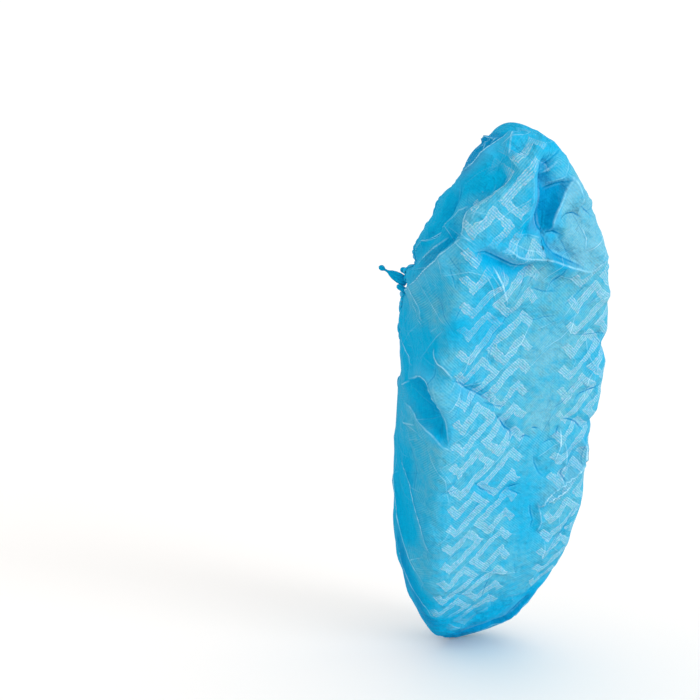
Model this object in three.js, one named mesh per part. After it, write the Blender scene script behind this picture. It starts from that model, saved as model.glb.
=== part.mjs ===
// A disposable anti-skid shoe cover, worn on a left foot that stands on its toe tip with the heel raised.
// It is a bag of thin blue nonwoven: a sole, a wall that runs up and in over the shoe, and a gathered hem
// round the opening. Millimetres, +Z up. The origin is on the inner face of the sole, where the foot rests.
//
// Everything is worked out in the sole's own frame first (x to the big-toe side, y to the toe, z from the
// sole up into the shoe), and nested groups then raise, turn and tilt that frame as the foot holds it.
import * as THREE from "three";

const CLOTH = 1.2; // wall thickness of the cloth
const HEM_CLOTH = 2; // the hem is the cloth turned over its elastic
const HEM_PROUD = (HEM_CLOTH - CLOTH) / 2; // how far the hem stands out past the body
const HEM_HEIGHT = 6;
const TAIL_GAP = 0.3; // between the hem and its loose end
const HEM_GAP = 1.3; // between the body and the hem, which may lean towards each other
const EDGE_RADIUS = 8; // rounding between sole and wall
const RIM_DROP = 4; // how far the wall's curve heads down as it leaves the rim

// The foot's pose, in degrees.
const HEEL_RAISE = 64;
const TURN = 22.4;
const TILT = 9.5;

// The toe part bends up at the ball of the foot.
const BEND_START = 45;
const BEND_RUN = 90;
const BEND_ANGLE = THREE.MathUtils.degToRad(20);

// The line down the middle of the sole where its two halves meet.
const MIDDLE_TOE = 112;
const MIDDLE_HEEL = -108;
const CROWDING = 0.75; // how much closer together the columns meet this line at its two ends

// The mesh: columns round the foot, and rings down the hem, the wall, the rounded edge and the sole.
const COLUMNS = 96;
const HEM_RINGS = 2;
const WALL_RINGS = 11;
const EDGE_RINGS = 3;
const SOLE_RINGS = 7;

// One row for each place round the foot: toe, down the big-toe side to the heel, and back up the outer side.
// edge: where the sole's edge lies. rim: the top of the hem there. reach: how far the wall runs level from
// the rim, as a share of the way to the edge. upright: how high the wall stands straight above the edge.
// bulge: how far it leans out.
const PLACES = [
  { place: "toe", edge: [-9, 171, 5], rim: [-6, 22, 88], reach: 0.55, upright: 46, bulge: 5 },
  { place: "big_toe", edge: [27, 159, 3], rim: [16, 14, 88], reach: 0.5, upright: 44, bulge: 6 },
  { place: "inner_ball", edge: [43, 101, 2], rim: [32, -8, 84], reach: 0.45, upright: 40, bulge: 8 },
  { place: "inner_instep", edge: [49, 34, 0], rim: [38, -38, 80], reach: 0.4, upright: 36, bulge: 9 },
  { place: "inner_waist", edge: [51, -42, 0], rim: [36, -72, 76], reach: 0.4, upright: 38, bulge: 10 },
  { place: "inner_heel", edge: [42, -99, 0], rim: [26, -98, 74], reach: 0.4, upright: 40, bulge: 10 },
  { place: "heel_corner", edge: [18, -143, 0], rim: [16, -123, 72], reach: 0.4, upright: 47, bulge: 9 },
  { place: "heel", edge: [-1, -160, 2], rim: [9, -136, 65], reach: 0.4, upright: 40, bulge: 9 },
  { place: "heel_tuck", edge: [-23, -144, 1], rim: [-16, -121, 57], reach: 0.4, upright: 29, bulge: 2 },
  { place: "outer_heel", edge: [-46, -101, 0], rim: [-36, -88, 62], reach: 0.4, upright: 32, bulge: 5 },
  { place: "outer_waist", edge: [-50, -37, 0], rim: [-40, -49, 68], reach: 0.4, upright: 33, bulge: 3 },
  { place: "outer_instep", edge: [-52, 33, 0], rim: [-30, -24, 75], reach: 0.4, upright: 35, bulge: 8 },
  { place: "outer_ball", edge: [-47, 97, 1], rim: [-29, 2, 83], reach: 0.45, upright: 36, bulge: 11 },
  { place: "little_toe", edge: [-34, 147, 3], rim: [-23, 17, 88], reach: 0.5, upright: 46, bulge: 12 },
];

// The main folds of the loose cloth. height: out of the surface, or into it where negative. width: from the
// crease to where the fold has died away. line: points that the crease passes.
const FOLDS = [
  { fold: "heel_crest", height: 7, width: 20,
    line: [[-3, -162, 6], [-22, -148, 22], [-33, -118, 45], [-40, -89, 60]] },
  { fold: "heel_groove", height: -6, width: 15,
    line: [[-12, -156, 6], [-31, -133, 20], [-42, -101, 42], [-41, -79, 59]] },
  { fold: "heel_ridge", height: 6, width: 14,
    line: [[-17, -149, 3], [-34, -131, 13], [-42, -111, 34], [-43, -72, 60]] },
  { fold: "side_groove", height: -4, width: 13,
    line: [[-33, -129, 6], [-45, -101, 25], [-45, -78, 48]] },
  { fold: "side_ridge", height: 5, width: 13,
    line: [[-36, -123, 3], [-47, -83, 40], [-43, -66, 61]] },
  { fold: "heel_crossing", height: -4, width: 16,
    line: [[-35, -114, 1], [-10, -105, 0], [25, -95, 0], [43, -86, 2]] },
  { fold: "heel_tuck", height: -6, width: 15,
    line: [[-2, -162, 7], [-3, -148, 1], [-4, -122, 0]] },
  { fold: "tuck_lip", height: 4, width: 13,
    line: [[5, -160, 7], [8, -140, 0], [6, -118, 0]] },
  { fold: "corner_ridge", height: 4, width: 15,
    line: [[15, -150, 5], [15, -136, 0], [9, -116, 0]] },
  { fold: "pocket", height: -9, width: 16,
    line: [[-48, -44, 46], [-50, -28, 24], [-42, -2, 1]] },
  { fold: "pocket_lip", height: 5, width: 13,
    line: [[-46, -53, 50], [-51, -37, 20], [-47, -4, 1]] },
  { fold: "pocket_brow", height: 5, width: 13,
    line: [[-48, -22, 50], [-52, -10, 12], [-26, 10, 0]] },
  { fold: "side_line", height: 3, width: 12,
    line: [[-52, -6, 36], [-54, 25, 19], [-50, 55, 5], [-42, 110, 10]] },
  { fold: "lower_side_line", height: 3, width: 12,
    line: [[-52, 44, 42], [-52, 68, 25], [-44, 112, 14], [-28, 148, 25]] },
  { fold: "ball_crossing", height: 4, width: 15,
    line: [[50, 22, 4], [35, 39, 0], [16, 51, 0]] },
  { fold: "waist_crossing", height: -4, width: 15,
    line: [[52, -21, 4], [33, -17, 0], [25, 22, 0]] },
  { fold: "toe_lip", height: -4, width: 13,
    line: [[2, 160, 32], [23, 151, 28], [36, 132, 22]] },
];

// Gathers that the elastic draws into the cloth: how many, how deep at the rim, and how far down they reach.
const GATHERS = [
  { folds: 24, depth: 0.9, reach: 26, shift: 0.1 },
  { folds: 13, depth: 1.6, reach: 55, shift: 0.65 },
];

// The hem's loose end stands off the outer side: its half-thickness at distances from its rounded root.
const TAIL_TURN = 0.675; // its place round the rim, as a share of a turn from the toe
const TAIL_DIRECTION = [-0.78, -0.48, 0.41];
const TAIL_RADIUS = 2.4;
const TAIL_SIDES = 12;
const TAIL_PROFILE = [
  { along: -TAIL_RADIUS, radius: 0 },
  { along: -0.7 * TAIL_RADIUS, radius: 0.7 * TAIL_RADIUS },
  { along: 0, radius: TAIL_RADIUS },
  { along: 3, radius: 2.9 },
  { along: 6, radius: 2.4 },
  { along: 9, radius: 1.2 },
  { along: 11, radius: 0.8 },
  { along: 12, radius: 1.5 },
  { along: 13.2, radius: 1.8 },
  { along: 14.5, radius: 1.2 },
  { along: 15.1, radius: 0 },
];

const BLUE = 0x2fa3d0;
const HEM_BLUE = 0x1f93c6;

const up = new THREE.Vector3(0, 0, 1);
const vector = (xyz) => new THREE.Vector3(...xyz);
const around = (index) => (index + COLUMNS) % COLUMNS;
const steps = (count) => Array.from({ length: count }, (_, k) => (k + 1) / count);

// Values between the rows of a table, on a closed Catmull-Rom curve. turn runs from 0 to 1 round the table.
function between(rows, turn) {
  const step = turn * rows.length;
  const first = Math.floor(step);
  const f = step - first;
  const row = (k) => rows[(first + k + rows.length) % rows.length];
  return rows[0].map((_, c) => {
    const [a, b, d, e] = [row(-1)[c], row(0)[c], row(1)[c], row(2)[c]];
    return b + 0.5 * ((d - a) * f + (2 * a - 5 * b + 4 * d - e) * f ** 2 + (3 * b - a - 3 * d + e) * f ** 3);
  });
}

const ROWS = PLACES.map((p) => [...p.edge, ...p.rim, p.reach, p.upright, p.bulge]);

// One column of the cover: the sole's edge, the direction outward from it, and the wall's curve from the rim
// down to its foot, just above the edge.
function column(index) {
  const at = (i) => between(ROWS, around(i) / COLUMNS);
  const [x, y, z, rimX, rimY, rimZ, reach, upright, bulge] = at(index);
  const [before, after] = [at(index - 1), at(index + 1)];
  const outward = new THREE.Vector3(before[1] - after[1], after[0] - before[0], 0).normalize();
  const edge = new THREE.Vector3(x, y, z);
  const rim = new THREE.Vector3(rimX, rimY, rimZ);
  const foot = edge.clone().addScaledVector(up, EDGE_RADIUS);
  const level = foot.clone().sub(rim).setZ(0).multiplyScalar(reach);
  const inner = rim.clone().add(level).addScaledVector(up, -RIM_DROP);
  const outer = foot.clone().addScaledVector(up, upright).addScaledVector(outward, bulge);
  return { edge, outward, wall: new THREE.CubicBezierCurve3(rim, inner, outer, foot) };
}

// A ring of the wall, at a distance from the rim given for each column.
function wallRing(columns, fromRim) {
  return columns.map(({ wall }) => {
    const distance = fromRim(wall.getLength());
    return { point: wall.getPointAt(distance / wall.getLength()), fromRim: distance };
  });
}

// A ring of the rounding between wall and sole; share runs from 0 at the wall to 1 at the sole.
function edgeRing(columns, share) {
  const angle = (share * Math.PI) / 2;
  const inward = EDGE_RADIUS * (1 - Math.cos(angle));
  const raised = EDGE_RADIUS * (1 - Math.sin(angle));
  return columns.map(({ edge, outward, wall }) => ({
    point: edge.clone().addScaledVector(outward, -inward).addScaledVector(up, raised),
    fromRim: wall.getLength(),
  }));
}

// A ring of the sole; inward runs from 0 at its edge to 1 at the line down its middle.
function soleRing(border, inward) {
  return border.map(({ point, fromRim }, i) => {
    const fromToe = Math.min(i, COLUMNS - i) / (COLUMNS / 2);
    const share = fromToe - (CROWDING * Math.sin(2 * Math.PI * fromToe)) / (2 * Math.PI);
    const middle = new THREE.Vector3(0, THREE.MathUtils.lerp(MIDDLE_TOE, MIDDLE_HEEL, share), 0);
    return { point: middle.lerp(point, 1 - inward).setZ(point.z * (1 - inward) ** 2), fromRim };
  });
}

// The bend at the ball of the foot: the sole past BEND_START curls up and carries all above it along.
function bend(p) {
  const past = p.y - BEND_START;
  if (past <= 0) return p.clone();
  const radius = BEND_RUN / BEND_ANGLE;
  const angle = Math.min(past, BEND_RUN) / radius;
  const rest = Math.max(past - BEND_RUN, 0);
  const y = BEND_START + (radius - p.z) * Math.sin(angle) + rest * Math.cos(angle);
  const z = radius - (radius - p.z) * Math.cos(angle) + rest * Math.sin(angle);
  return new THREE.Vector3(p.x, y, z);
}

// Where a point lies beside a crease: its distance, and how far along the crease as a share of its length.
function besideCrease(p, line) {
  const crease = new THREE.CurvePath();
  line.slice(1).forEach((end, k) => crease.add(new THREE.LineCurve3(vector(line[k]), vector(end))));
  let before = 0;
  let nearest = { distance: Infinity, share: 0 };
  for (const piece of crease.curves) {
    const segment = new THREE.Line3(piece.v1, piece.v2);
    const share = segment.closestPointToPointParameter(p, true);
    const distance = segment.at(share, new THREE.Vector3()).distanceTo(p);
    const along = (before + share * piece.getLength()) / crease.getLength();
    if (distance < nearest.distance) nearest = { distance, share: along };
    before += piece.getLength();
  }
  return nearest;
}

// How far the folds push a point out of the surface.
function foldHeight(p) {
  return FOLDS.reduce((sum, { height, width, line }) => {
    const { distance, share } = besideCrease(p, line);
    if (distance >= width) return sum;
    return sum + height * (1 - (distance / width) ** 2) ** 2 * Math.sqrt(4 * share * (1 - share));
  }, 0);
}

// How far the gathers push out a point of the wall.
function gatherHeight(turn, fromRim) {
  return GATHERS.reduce((sum, { folds, depth, reach, shift }) => {
    const fade = Math.max(0, 1 - fromRim / reach) ** 2;
    return sum + depth * Math.cos(2 * Math.PI * (folds * turn + shift)) * fade;
  }, 0);
}

// Outward normals of a grid of rings, from each point's neighbours. The last ring runs down the middle of the
// sole, where the cover's two halves share their points, and so their normals.
function normalsOf(grid) {
  const last = grid.length - 1;
  const normals = grid.map((ring, j) =>
    ring.map((_, i) => {
      const across = ring[around(i + 1)].clone().sub(ring[around(i - 1)]);
      const down = grid[Math.min(j + 1, last)][i].clone().sub(grid[Math.max(j - 1, 0)][i]);
      return across.cross(down).normalize();
    }),
  );
  const beside = normals[last - 1];
  normals[last] = beside.map((n, i) => n.clone().add(beside[around(COLUMNS - i)]).normalize());
  return normals;
}

// The rings of the whole cover, from the hem's top edge to the middle of the sole. The hem and the body keep
// a gap between them.
function flatRings(columns) {
  const hemBand = [0, ...steps(HEM_RINGS)].map((share) => wallRing(columns, () => share * HEM_HEIGHT));
  const top = HEM_HEIGHT + HEM_GAP;
  const wall = [0, ...steps(WALL_RINGS)].map((share) => {
    return wallRing(columns, (length) => THREE.MathUtils.lerp(top, length, share));
  });
  const edge = steps(EDGE_RINGS).map((share) => edgeRing(columns, share));
  const sole = steps(SOLE_RINGS).map((share) => soleRing(edge.at(-1), share));
  return [...hemBand, ...wall, ...edge, ...sole];
}

// The cover's outer face: bent at the ball of the foot, then folded and gathered.
function outerFace(columns) {
  const flat = flatRings(columns);
  const bent = flat.map((ring) => ring.map(({ point }) => bend(point)));
  const normals = normalsOf(bent);
  const grid = bent.map((ring, j) =>
    ring.map((p, i) => {
      const height = foldHeight(p) + gatherHeight(i / COLUMNS, flat[j][i].fromRim);
      return p.clone().addScaledVector(normals[j][i], height);
    }),
  );
  return { grid, normals: normalsOf(grid) };
}

// Some rings of the cover as one closed skin: an outer face, proud of the grid, an inner face, and a strip
// round each open edge. Zipped rings end at the middle of the sole and are open only at their first ring.
function skin({ grid, normals }, zipped, proud, thick) {
  const faces = [proud, proud - thick].map((offset) =>
    grid.map((ring, j) => ring.map((p, i) => p.clone().addScaledVector(normals[j][i], offset))),
  );
  const last = grid.length - 1;
  const halved = (i) => Math.min(i, COLUMNS - i);
  const at = (face, j, i) => {
    const shared = zipped && j === last ? halved(around(i)) : around(i);
    return (face * grid.length + j) * COLUMNS + shared;
  };
  const index = [];
  const quad = (a, b, c, d) => index.push(a, b, c, a, c, d);
  for (let i = 0; i < COLUMNS; i++) {
    for (let j = 0; j < last; j++) {
      quad(at(0, j, i), at(0, j, i + 1), at(0, j + 1, i + 1), at(0, j + 1, i));
      quad(at(1, j, i), at(1, j + 1, i), at(1, j + 1, i + 1), at(1, j, i + 1));
    }
    quad(at(0, 0, i), at(1, 0, i), at(1, 0, i + 1), at(0, 0, i + 1));
    if (!zipped) quad(at(0, last, i), at(0, last, i + 1), at(1, last, i + 1), at(1, last, i));
  }
  const geometry = new THREE.BufferGeometry();
  const positions = faces.flat(2).flatMap((p) => p.toArray());
  geometry.setAttribute("position", new THREE.Float32BufferAttribute(positions, 3));
  geometry.setIndex(index);
  return geometry;
}

// The hem's loose end, seated on the outer face of the hem: a tuft that tapers to a thin neck and a knob.
function hemTail(hem) {
  const outline = TAIL_PROFILE.map(({ along, radius }) => new THREE.Vector2(radius, along));
  const tail = piece("hem_tail", new THREE.LatheGeometry(outline, TAIL_SIDES), HEM_BLUE);
  const at = Math.round(TAIL_TURN * COLUMNS);
  const ring = Math.round(HEM_RINGS / 2);
  const clear = HEM_PROUD + TAIL_GAP + TAIL_RADIUS;
  tail.position.copy(hem.grid[ring][at]).addScaledVector(hem.normals[ring][at], clear);
  tail.quaternion.setFromUnitVectors(new THREE.Vector3(0, 1, 0), vector(TAIL_DIRECTION).normalize());
  return tail;
}

function piece(name, geometry, color) {
  const material = new THREE.MeshStandardMaterial({ color, roughness: 0.8, metalness: 0 });
  const mesh = new THREE.Mesh(geometry, material);
  mesh.name = name;
  return mesh;
}

const columns = Array.from({ length: COLUMNS }, (_, i) => column(i));
const face = outerFace(columns);
const cut = (from, to) => ({ grid: face.grid.slice(from, to), normals: face.normals.slice(from, to) });
const hem = cut(0, HEM_RINGS + 1);
const body = cut(HEM_RINGS + 1);

// The sole's own frame, lowered so that the inner face of the sole meets the origin.
const cover = new THREE.Group();
cover.add(piece("cover_body", skin(body, true, 0, CLOTH), BLUE));
cover.add(piece("gathered_hem", skin(hem, false, HEM_PROUD, HEM_CLOTH), HEM_BLUE));
cover.add(hemTail(hem));
cover.position.z = -CLOTH;

const raised = new THREE.Group();
raised.add(cover);
raised.rotation.x = THREE.MathUtils.degToRad(-HEEL_RAISE);

const turned = new THREE.Group();
turned.add(raised);
turned.rotation.z = THREE.MathUtils.degToRad(TURN);

const group = new THREE.Group();
group.add(turned);
group.rotation.y = THREE.MathUtils.degToRad(-TILT);

export default group;
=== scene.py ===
from math import cos, pi, radians, sin

import bpy
import numpy as np
from mathutils import Matrix, Vector


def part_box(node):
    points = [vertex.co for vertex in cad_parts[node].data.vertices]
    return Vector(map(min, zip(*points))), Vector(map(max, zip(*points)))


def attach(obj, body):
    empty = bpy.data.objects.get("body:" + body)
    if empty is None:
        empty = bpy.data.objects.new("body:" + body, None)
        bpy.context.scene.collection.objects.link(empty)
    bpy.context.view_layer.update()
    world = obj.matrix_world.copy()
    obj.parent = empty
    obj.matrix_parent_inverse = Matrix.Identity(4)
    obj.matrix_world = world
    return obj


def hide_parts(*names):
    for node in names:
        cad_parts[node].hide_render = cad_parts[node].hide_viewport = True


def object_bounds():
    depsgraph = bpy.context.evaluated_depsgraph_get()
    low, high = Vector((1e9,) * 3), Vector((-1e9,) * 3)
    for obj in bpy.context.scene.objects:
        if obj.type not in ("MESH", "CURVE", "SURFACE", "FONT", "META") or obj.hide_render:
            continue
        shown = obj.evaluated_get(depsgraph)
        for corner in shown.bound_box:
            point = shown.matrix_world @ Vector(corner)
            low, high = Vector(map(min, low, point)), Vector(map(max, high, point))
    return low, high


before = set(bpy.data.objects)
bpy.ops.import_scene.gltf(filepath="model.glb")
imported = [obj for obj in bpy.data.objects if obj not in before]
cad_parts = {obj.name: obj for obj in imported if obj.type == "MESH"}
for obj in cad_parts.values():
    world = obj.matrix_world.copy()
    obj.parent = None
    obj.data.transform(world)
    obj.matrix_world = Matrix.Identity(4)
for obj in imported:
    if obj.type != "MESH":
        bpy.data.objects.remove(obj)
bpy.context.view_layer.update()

# The cover is seen from the front at knee height, with the printed sole turned towards the viewer.
bpy.ops.object.camera_add(location=(-0.0911, -0.6145, 0.0889), rotation=(radians(86), 0, 0))
camera = bpy.context.object
camera.data.lens = 60
camera.data.sensor_width = 36
bpy.context.scene.camera = camera
bpy.context.scene.view_settings.view_transform = "Standard"

# --------------------------------------------------------------------
# Body of the cover: one bag of thin blue nonwoven, 330 mm long on the foot, with a flat sole and a loose
# wall that the elastic of the hem draws in over the shoe. The foot inside has raised its heel and turned
# its sole to the viewer, and the slack cloth has creased sharply round the heel.
MM = 0.001
CLOTH_THICKNESS = 0.4 * MM
SOLE_LEVEL = -1.2 * MM
EDGE_RADIUS = 8 * MM
RIM_DROP = 4 * MM
HEM_HEIGHT = 6 * MM

# The foot's tilt, its turn and the raise of its heel.
POSE = (
    Matrix.Rotation(radians(-9.5), 3, "Y")
    @ Matrix.Rotation(radians(22.4), 3, "Z")
    @ Matrix.Rotation(radians(-64), 3, "X")
)

# The sole's curl past the ball of the foot: where it starts, how long it is, and its angle.
BEND_START = 45 * MM
BEND_RUN = 90 * MM
BEND_ANGLE = radians(20)

# The rings of the sole close on a middle line between these two places, crowding towards its ends.
MIDDLE_TOE = 112 * MM
MIDDLE_HEEL = -108 * MM
CROWDING = 0.75

# How finely the cloth is divided: round, down the wall (a little closer near the rim), round the sole's
# edge and in to its middle line.
COLUMNS = 480
WALL_RINGS = 56
EDGE_RINGS = 6
SOLE_RINGS = 28
RIM_CROWDING = 1.1
CURVE_STEPS = 200

# The cover's form before it creases, round the foot, in mm: the sole's edge, and the rim above it. reach:
# the share of the way out that the wall goes at the rim's height. upright, bulge: how far up from the
# sole's edge it stands, and how far it swells out there.
PLACES = [
    # place, sole's edge x y z, rim x y z, reach, upright, bulge
    ("toe", -9, 171, 5, -6, 22, 88, 0.55, 46, 5),
    ("big toe", 27, 159, 3, 16, 14, 88, 0.50, 44, 6),
    ("inner ball", 43, 101, 2, 32, -8, 84, 0.45, 40, 8),
    ("inner instep", 49, 34, 0, 38, -38, 80, 0.40, 36, 9),
    ("inner waist", 51, -42, 0, 36, -72, 76, 0.40, 38, 10),
    ("inner heel", 42, -99, 0, 26, -98, 74, 0.40, 40, 10),
    ("heel corner", 18, -143, 0, 16, -123, 72, 0.40, 47, 9),
    ("heel", -1, -160, 2, 9, -136, 65, 0.40, 40, 9),
    ("heel tuck", -23, -144, 1, -16, -121, 57, 0.40, 29, 2),
    ("outer heel", -46, -101, 0, -36, -88, 62, 0.40, 32, 5),
    ("outer waist", -50, -37, 0, -40, -49, 68, 0.40, 33, 3),
    ("outer instep", -52, 33, 0, -30, -24, 75, 0.40, 35, 8),
    ("outer ball", -47, 97, 1, -29, 2, 83, 0.45, 36, 11),
    ("little toe", -34, 147, 3, -23, 17, 88, 0.50, 46, 12),
]

# The creases that shape the cover, on the cloth laid flat (u to the big-toe side, v to the toe), in mm.
# rise: how far the crease stands out of the cloth, or into it where negative. left, right: how far the
# fold reaches on either side, looking along its points. tone: how strong a painted highlight the crease
# line gets, or how much painted shade where negative.
CREASES = [
    # name, rise, left, right, tone, points
    ("rim fold", 4, 5, 14, 1.0,
     [(-13, -178), (-19, -171), (-25, -168), (-32, -164), (-40, -162), (-48, -160), (-60, -153)]),
    ("rim knot 1", 2, 3, 3, 0.6, [(-35, -188), (-31, -181), (-27, -174)]),
    ("rim knot 2", 1.5, 3, 3, 0.5, [(-42, -177), (-34, -174), (-26, -177)]),
    ("rim knot 3", 2, 2, 2, 0.6, [(-37, -186), (-32, -182), (-29, -183)]),
    ("rim knot 4", 2, 2, 2, 0.6, [(-30, -170), (-26, -174), (-24, -176)]),
    ("rim knot 5", 1.5, 2, 2, 0.5, [(-36, -169), (-33, -172), (-32, -176)]),
    ("crest valley", -6, 10, 5, -0.6, [(-17, -152), (-24, -147), (-31, -141), (-38, -137), (-47, -131)]),
    ("panel border", 4, 4, 9, 0.8, [(-24, -143), (-31, -140), (-38, -135), (-42, -127), (-43, -118)]),
    ("crest line", 2, 4, 4, 0.7, [(-46, -138), (-52, -132), (-60, -126), (-70, -121), (-80, -117)]),
    ("side valley", -5, 8, 5, -0.8, [(-50, -152), (-58, -141), (-62, -131), (-67, -124), (-78, -118)]),
    ("side ridge 1", 3, 4, 5, 0.8, [(-66, -127), (-74, -121), (-84, -114), (-94, -106)]),
    ("crest line 2", 1.5, 4, 4, 0.6, [(-58, -120), (-67, -114), (-76, -107), (-85, -99)]),
    ("side band", -5, 7, 5, -0.5, [(-46, -127), (-53, -119), (-61, -112), (-70, -103), (-80, -92)]),
    ("side ridge 2", 6, 5, 14, 1.0,
     [(-42, -119), (-50, -112), (-60, -103), (-72, -92), (-84, -82), (-96, -76)]),
    ("fan 1", 3.5, 5, 6, 0.9, [(-78, -87), (-72, -81), (-69, -76), (-67, -69)]),
    ("fan 2", 3, 4, 5, 0.8, [(-79, -77), (-74, -73), (-70, -70), (-68, -65)]),
    ("fan 3", 2.5, 5, 6, 0.8, [(-107, -54), (-103, -45), (-95, -42), (-88, -40), (-78, -38)]),
    ("top line", 2, 5, 6, 0.4, [(-13, -174), (-16, -166), (-20, -159)]),
    ("tuck", -4.5, 3, 9, -1.0,
     [(-2, -155), (-3, -147), (-3.5, -137), (-4, -127), (-2.5, -119), (2, -114)]),
    ("tuck lip", 3, 9, 4, 0.1, [(-9, -157), (-9, -142), (-10, -128), (-8, -117)]),
    ("box top", -1.5, 3, 5, -1.0, [(-3, -148), (1, -152), (4.5, -154.5), (10, -156.5)]),
    ("box top light", 1.5, 6, 2, 0.6, [(-1.5, -146), (1.5, -149), (5, -152)]),
    ("box foot light", 2, 2, 6, 0.5, [(0.5, -141), (4, -143), (9, -144.5)]),
    ("box foot", -2.5, 8, 2, -0.8, [(-1, -138), (5, -140.5), (12, -142)]),
    ("bulge edge", 4, 3, 12, 0.7,
     [(13, -144), (8.5, -137), (6, -132), (4, -127), (3.5, -122), (4.5, -116)]),
    ("bulge ear", 2, 6, 4, 0.7, [(11, -144), (15, -138.5), (19, -132), (20.5, -125)]),
    ("bulge notch", -3, 7, 3, -0.9, [(7, -123), (12, -124.5), (17, -124), (21, -121.5)]),
    ("bulge corner", -4, 5, 5, -1.0, [(19, -128), (24, -126), (31, -120)]),
    ("small hollow", -3, 4, 4, -1.0, [(2, -115.5), (6, -116), (11, -113.5)]),
    ("heel valley", -4, 4, 8, -1.0, [(-1, -117), (3, -109.5), (8, -104), (15, -100), (24, -95)]),
    ("heel crossing", 5, 9, 4, 0.8,
     [(-22, -113), (-15, -107.5), (-8, -106), (0, -104.5), (6, -102), (12, -99), (19, -95.5), (32, -90.5)]),
    ("dark hollow", -4.5, 8, 3, -0.8,
     [(-38, -112), (-31, -111), (-24, -107), (-16, -102.5), (-6, -101)]),
    ("short crease", -1.8, 5, 4, -0.9, [(13, -97), (13.5, -93.5), (11.5, -90), (7, -87)]),
    ("right corner", 2.5, 5, 5, 0.8, [(32, -91), (37, -95), (44, -98)]),
    ("sole line 1", 2.2, 6, 6, 0.9, [(-27, -103), (-24, -96), (-20, -88), (-17, -81)]),
    ("sole line 2", -1.8, 7, 7, -0.6, [(-4, -88), (4, -84), (12, -83)]),
    ("sole line 3", -1.8, 7, 7, -0.6, [(30, -84), (24, -78), (17, -74)]),
    ("panel edge", 3, 5, 4, 1.0, [(-57, -58), (-53, -53), (-49, -51), (-45, -45)]),
    ("panel foot", -2.5, 5, 5, -0.9, [(-45, -43), (-40, -41), (-35, -36), (-29, -32), (-22, -27)]),
    ("pocket", -6.5, 9, 14, -0.2, [(-80, -28), (-70, -27), (-62, -25), (-54, -17), (-47, -8)]),
    ("pocket brow", 5, 4, 12, 0.7,
     [(-84, -26), (-71, -36), (-62, -41), (-58, -41), (-54, -36), (-50, -28), (-47, -19), (-45, -6)]),
    ("pocket lip", 3, 12, 4, 0.5,
     [(-88, -8), (-77, -14), (-71, -14), (-62, -12), (-54, -9), (-45, -4), (-41, 0)]),
    ("rim light", 2, 4, 4, 0.5, [(-96, -12), (-90, -18), (-85, -24)]),
    ("lip crossing", 2, 4, 4, 0.5, [(-87, 3), (-79, -2), (-72, -6)]),
    ("side line 1", 3.5, 5, 9, 0.9,
     [(-97, 36), (-88, 34), (-77, 29), (-69, 30), (-65, 35), (-61, 42), (-57, 49), (-54, 57), (-51, 66)]),
    ("side line 2", 3, 6, 5, 0.9,
     [(-103, 44), (-99, 53), (-92, 60), (-85, 65), (-77, 70), (-70, 75), (-63, 80), (-57, 86), (-50, 92)]),
    ("side line 3", 2, 5, 5, 0.7,
     [(-88, 106), (-81, 112), (-73, 107), (-64, 105), (-57, 108), (-50, 110), (-44, 115), (-39, 123)]),
    ("sole crease 1", -1.6, 3, 4, -0.9, [(-25, -26), (-18, -23), (-13, -21)]),
    ("sole crease 2", -2, 4, 4, -1.0, [(-18, -18), (-14, -13), (-11, -8), (-7, -5), (-8, -1)]),
    ("sole crease 3", -1, 2.5, 2.5, -0.9, [(5, -5), (10, -3)]),
    ("sole crease 4", -1.2, 3, 3, -0.8, [(-2, 0), (1, -1), (6, 2)]),
    ("ball crease 1", -1.8, 4, 4, -0.9, [(-28, 21), (-23, 27), (-18, 30), (-14, 34)]),
    ("ball crease 2", -2, 4, 4, -1.0, [(-12, 34), (-8, 32), (-3, 31), (1, 30)]),
    ("ball crease 3", -1.5, 3, 3, -0.7, [(-6, 32), (-2, 35), (3, 38)]),
    ("ball crease 4", -1.2, 3, 3, -0.9, [(21, 6), (17, 6), (13, 7)]),
    ("ball crease 8", -0.8, 2, 6, -0.6, [(8, 12), (9, 18), (13, 26), (18, 31)]),
    ("ball crease 5", -1, 2, 6, -0.8, [(10, 46), (11, 52), (13, 58), (12, 64)]),
    ("ball crease 6", -1.2, 3, 3, -0.9, [(22, -2), (21, 3)]),
    ("ball crease 7", -1.4, 3, 3, -0.9, [(29, 27), (28, 31), (30, 35)]),
    ("ball line", 1.2, 4, 4, 0.6, [(14, 46), (17, 54), (18, 60), (17, 68)]),
    ("ball upright", 2, 4, 5, 0.8, [(23, -1), (24, 6), (24, 12), (23, 17), (22, 21)]),
    ("ball upright 2", 1.5, 3, 4, 0.6, [(27, 9), (30, 17), (30.5, 25), (29, 31)]),
    ("ball crossing 1", 5, 4, 3.5, 1.0,
     [(39, 9), (43, 18), (43, 25), (39, 30), (35, 33), (29, 36), (24, 39), (20, 43), (15, 49)]),
    ("ball crossing 3", -2, 3, 3, -1.0, [(47, 18), (46, 27), (41, 33), (35, 36.5), (30, 39.5)]),
    ("ball crossing 2", 3, 3, 3, 0.9, [(36, 40), (31, 43), (25, 45), (20, 47), (14, 48)]),
    ("waist crossing 1", -2.2, 4, 5, -0.9, [(30, -15), (34, -19), (42, -20), (50, -21)]),
    ("waist crossing 2", -2, 4, 5, -0.8, [(24, -6), (29, -4), (34, -1), (39, 5)]),
    ("waist notch", -2.5, 8, 8, -0.4, [(38, -52), (46, -46), (58, -42), (74, -40)]),
    ("ball notch", -2.5, 6, 6, -0.4, [(36, 3), (46, 3), (58, 0), (74, -6)]),
    ("toe side", -1.5, 3, 3, -0.6, [(45, 54), (41, 58), (38, 65), (35, 73), (31, 80), (28, 87)]),
    ("toe lip", 2, 3, 4, 0.5,
     [(-10, 159), (-2, 158), (6, 157), (14, 153), (21, 146), (27, 136), (32, 125)]),
    ("toe fold", -2.5, 2.5, 2.5, -1.0,
     [(-22, 155), (-12, 154), (-3, 152), (5, 151.5), (12, 149), (20, 140), (26, 129)]),
]

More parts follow.
